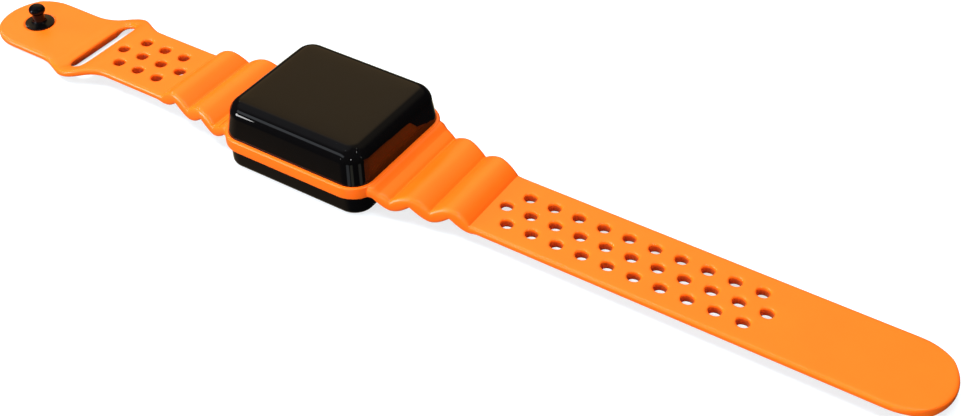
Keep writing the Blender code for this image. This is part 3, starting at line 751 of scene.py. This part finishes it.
def makeRoot(side, label):
    # first crest of the folds, from inside the cradle's wall to the first seam
    bm = gridPlate(lineUp([lines["start"] * mm, armRoot["meshTo"]], armRoot["meshStep"]))
    flareSides(bm)
    thicken(bm)
    bm = smoothed(bm)
    bendPlate(bm, rootTop, armBottom)
    piece = cutPiece(bm, folds["root"] + armRoot["from"], armRoot["to"], side, f"{label}_arm_root")
    bm.free()
    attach(piece, "band")
    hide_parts("band_cradle")


makeCradle()
print("cradle moulded")


def crownDrop(co):
    # the top face is very slightly domed towards its rounded edges
    corner, reach = cover["corner"], cover["crownReach"]
    out = Vector((abs(co.x) - cover["halfX"] + corner, abs(co.y) - cover["halfY"] + corner))
    beyond = Vector((max(out.x, 0.0), max(out.y, 0.0))).length + min(max(out.x, out.y), 0.0) - corner
    deep = min(max((reach + beyond) / reach, 0.0), 1.0)
    return cover["crown"] * deep ** 3 * share(co.z, cover["top"] - cover["edge"], cover["top"])


def makeCover():
    bm = roundedBlock(cover["halfX"], cover["halfY"], cover["corner"], cover["low"], cover["top"], 20)
    bevelRim(bm, True, cover["edge"], 16)
    edges = openFace(bm, endFace(bm, False), cover["wall"])
    ceiling, (slimX, slimY) = cover["top"] - cover["wall"], cover["cavityTop"]
    edges = extrudeLoop(bm, edges, lambda co: Vector((co.x, co.y, ceiling - cover["cavityRound"])))
    edges = extrudeLoop(bm, edges, lambda co: Vector((co.x * slimX, co.y * slimY, ceiling)))
    bmesh.ops.edgeloop_fill(bm, edges=edges)
    bmesh.ops.bisect_plane(bm, geom=bm.verts[:] + bm.edges[:] + bm.faces[:], dist=1e-7,
                           plane_co=(0, 0, cover["waist"]), plane_no=(0, 0, 1))
    shoulder = cover["top"] - cover["edge"]
    for vert in bm.verts:
        lean = cover["lean"] * min(max(share(vert.co.z, cover["waist"], shoulder), 0.0), 1.0)
        vert.co.x *= 1 - lean / cover["halfX"]
        vert.co.y *= 1 - lean / cover["halfY"]
    top, flatIn = endFace(bm, True), cover["edge"] + cover["lean"]
    for scale in cover["crownRings"]:
        ring = {vert: vert.co * 1 for vert in top.verts}
        bmesh.ops.inset_individual(bm, faces=[top], thickness=0.01 * mm)
        for vert in top.verts:
            near = min(ring.values(), key=lambda co: (co - vert.co).length)
            grown = max(abs(near.x) / (cover["halfX"] - flatIn), abs(near.y) / (cover["halfY"] - flatIn))
            vert.co.x, vert.co.y = near.x * scale / grown, near.y * scale / grown
    for vert in bm.verts:
        if vert.co.z > shoulder:
            vert.co.z -= crownDrop(vert.co)
    bmesh.ops.recalc_face_normals(bm, faces=bm.faces)
    piece = finishPiece("smoked_cover", bm, coverBlack, 50)
    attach(piece, "watch_pod")
    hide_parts("lens_cover")


rear = {"halfX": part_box("rear_case")[1].x, "halfY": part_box("rear_case")[1].y, "corner": 5.0 * mm,
        "top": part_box("rear_case")[1].z, "edge": 1.3 * mm, "floor": 1.8 * mm, "wall": 1.6 * mm}

# half outlines in mm: radius and height, from the middle of the lower face round to the axis
screw = {"places": [(x * mm, y * mm) for x in (-16.2, 16.2) for y in (-12.8, 12.8)],
         "bore": 1.1 * mm, "seat": 1.7 * mm, "seatDeep": 1.0 * mm,
         "outline": [(0, 0.5), (0.35, 0.5), (0.5, 0.22), (1.2, 0.2), (1.36, 0.26), (1.4, 0.4),
                     (1.4, 0.7), (0.8, 0.7), (0.8, 5.4), (0, 5.4)]}
contact = {"places": [(12.6 * mm, (-10.8 + 2.9 * i) * mm) for i in range(4)], "bore": 1.3 * mm,
           "outline": [(0, 0.1), (0.75, 0.1), (0.93, 0.16), (1.0, 0.3), (1.0, 2.1), (1.35, 2.1),
                       (1.35, 2.6), (0, 2.6)]}


def circleEdges(bm, x, y, z, radius, steps=32):
    verts = bmesh.ops.create_circle(bm, cap_ends=False, segments=steps, radius=radius)["verts"]
    bmesh.ops.translate(bm, vec=(x, y, z), verts=verts)
    return list(dict.fromkeys(edge for vert in verts for edge in vert.link_edges))


def pierceFace(bm, face, screwRadius):
    # refill a flat face around the screws and contacts, and return the edges round each hole
    outline, z = list(face.edges), face.calc_center_median().z
    bmesh.ops.delete(bm, geom=[face], context="FACES_ONLY")
    rings = [circleEdges(bm, x, y, z, screwRadius) for x, y in screw["places"]]
    rings += [circleEdges(bm, x, y, z, contact["bore"]) for x, y in contact["places"]]
    bmesh.ops.triangle_fill(bm, use_beauty=True, use_dissolve=False, normal=(0, 0, 1),
                            edges=outline + [edge for ring in rings for edge in ring])
    return rings


def sinkSeat(bm, edges, x, y):
    # a screw head's seat: straight up from the rear face, then in to the bore
    slim = screw["bore"] / screw["seat"]
    edges = extrudeLoop(bm, edges, lambda co: Vector((co.x, co.y, screw["seatDeep"])))
    return extrudeLoop(bm, edges, lambda co: Vector((x + (co.x - x) * slim, y + (co.y - y) * slim, co.z)))


def makeRearCase():
    bm = roundedBlock(rear["halfX"], rear["halfY"], rear["corner"], 0, rear["top"], 20)
    bevelRim(bm, False, rear["edge"], 8)
    edges = openFace(bm, endFace(bm, True), rear["wall"])
    edges = extrudeLoop(bm, edges, lambda co: Vector((co.x, co.y, rear["floor"])))
    inner = bmesh.ops.edgeloop_fill(bm, edges=edges)["faces"][0]
    above = pierceFace(bm, inner, screw["bore"])
    below = pierceFace(bm, endFace(bm, False), screw["seat"])
    for i, (x, y) in enumerate(screw["places"]):
        below[i] = sinkSeat(bm, below[i], x, y)
    for upper, lower in zip(above, below):
        bmesh.ops.bridge_loops(bm, edges=upper + lower)
    bmesh.ops.recalc_face_normals(bm, faces=bm.faces)
    piece = finishPiece("rear_shell", bm, rearBlack, 50)
    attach(piece, "watch_pod")
    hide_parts("rear_case")


def turnedPiece(name, place, profile, slot, body, node, steps):
    # spin a closed profile of radius and height about an upright axis
    bm = bmesh.new()
    verts = [bm.verts.new((radius, 0, height)) for radius, height in profile]
    edges = [bm.edges.new(pair) for pair in zip(verts, verts[1:])]
    bmesh.ops.spin(bm, geom=verts + edges, axis=(0, 0, 1), cent=(0, 0, 0), angle=2 * math.pi, steps=steps,
                   use_merge=True)
    bmesh.ops.remove_doubles(bm, verts=bm.verts, dist=1e-7)
    bmesh.ops.recalc_face_normals(bm, faces=bm.faces)
    bmesh.ops.translate(bm, vec=(*place, 0), verts=bm.verts)
    piece = finishPiece(name, bm, innerFinishes[slot], 35)
    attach(piece, body)
    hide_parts(node)


def makeRearFittings():
    for fitting, name, prefix, slot in ((screw, "rear_screw", "socket", "black_steel"),
                                        (contact, "charging_contact", "domed", "gold_plate")):
        profile = [(radius * mm, height * mm) for radius, height in fitting["outline"]]
        for i, place in enumerate(fitting["places"], start=1):
            turnedPiece(f"{prefix}_{name}_{i}", place, profile, slot, "watch_pod", f"{name}_{i}", 32)


# outlines in mm: radius, and height over the plate's underside or the disc's upper face
pin = {"sunk": 0.3 * mm, "discThick": 0.5 * mm, "knob": 2.25 * mm, "knobHalf": 1.5 * mm,
       "neck": 1.15 * mm, "foot": 0.8 * mm,
       "disc": [(3.85, -0.5), (3.95, -0.4), (3.95, -0.15), (3.9, -0.05), (3.75, 0), (2.4, 0.06)],
       "fillet": 2.4 * mm, "filletIn": 0.8 * mm, "filletUp": 0.9 * mm, "filletTop": 0.96 * mm,
       "backing": [(0, 0.02), (3.2, 0.02), (3.36, 0.08), (3.4, 0.22), (3.4, 0.55), (0, 0.55)]}


def makePin():
    plate = band["bottom"] - loop["drop"]
    face = plate + band["thick"] - pin["sunk"] + pin["discThick"]
    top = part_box("locking_pin")[1].z
    profile = [(0, plate + pin["foot"]), (pin["neck"], plate + pin["foot"]),
               (pin["neck"], face - pin["discThick"])]
    profile += [(radius * mm, face + height * mm) for radius, height in pin["disc"]]
    for angle in map(math.radians, (20, 40, 60, 80)):
        profile.append((pin["fillet"] - pin["filletIn"] * math.sin(angle),
                        face + pin["filletTop"] - pin["filletUp"] * math.cos(angle)))
    for angle in map(math.radians, range(-45, 90, 6)):
        profile.append((pin["knob"] * math.cos(angle),
                        top - pin["knobHalf"] + pin["knobHalf"] * math.sin(angle)))
    profile.append((0, top))
    place = (-pinSeat["x"], 0)
    turnedPiece("pin", place, profile, "black_steel", "plate", "locking_pin", 64)
    backing = [(radius * mm, plate + height * mm) for radius, height in pin["backing"]]
    turnedPiece("pin_backing", place, backing, "black_steel", "plate", "pin_backing_disc", 64)


makeCover()
makeRearCase()
makeRearFittings()
makePin()
print("pod and pin made")


def finishNodes():
    # nodes that stay as they are get the finish of their own slot
    finishes = {**innerFinishes, "gloss_black": rearBlack, "orange_silicone": orange}
    for entry in frame["record"]["subparts"]:
        mesh = frame["nodes"][entry["node"]].data
        mesh.materials.clear()
        mesh.materials.append(finishes[entry["material_slot"]])


finishNodes()
print("inner parts finished")
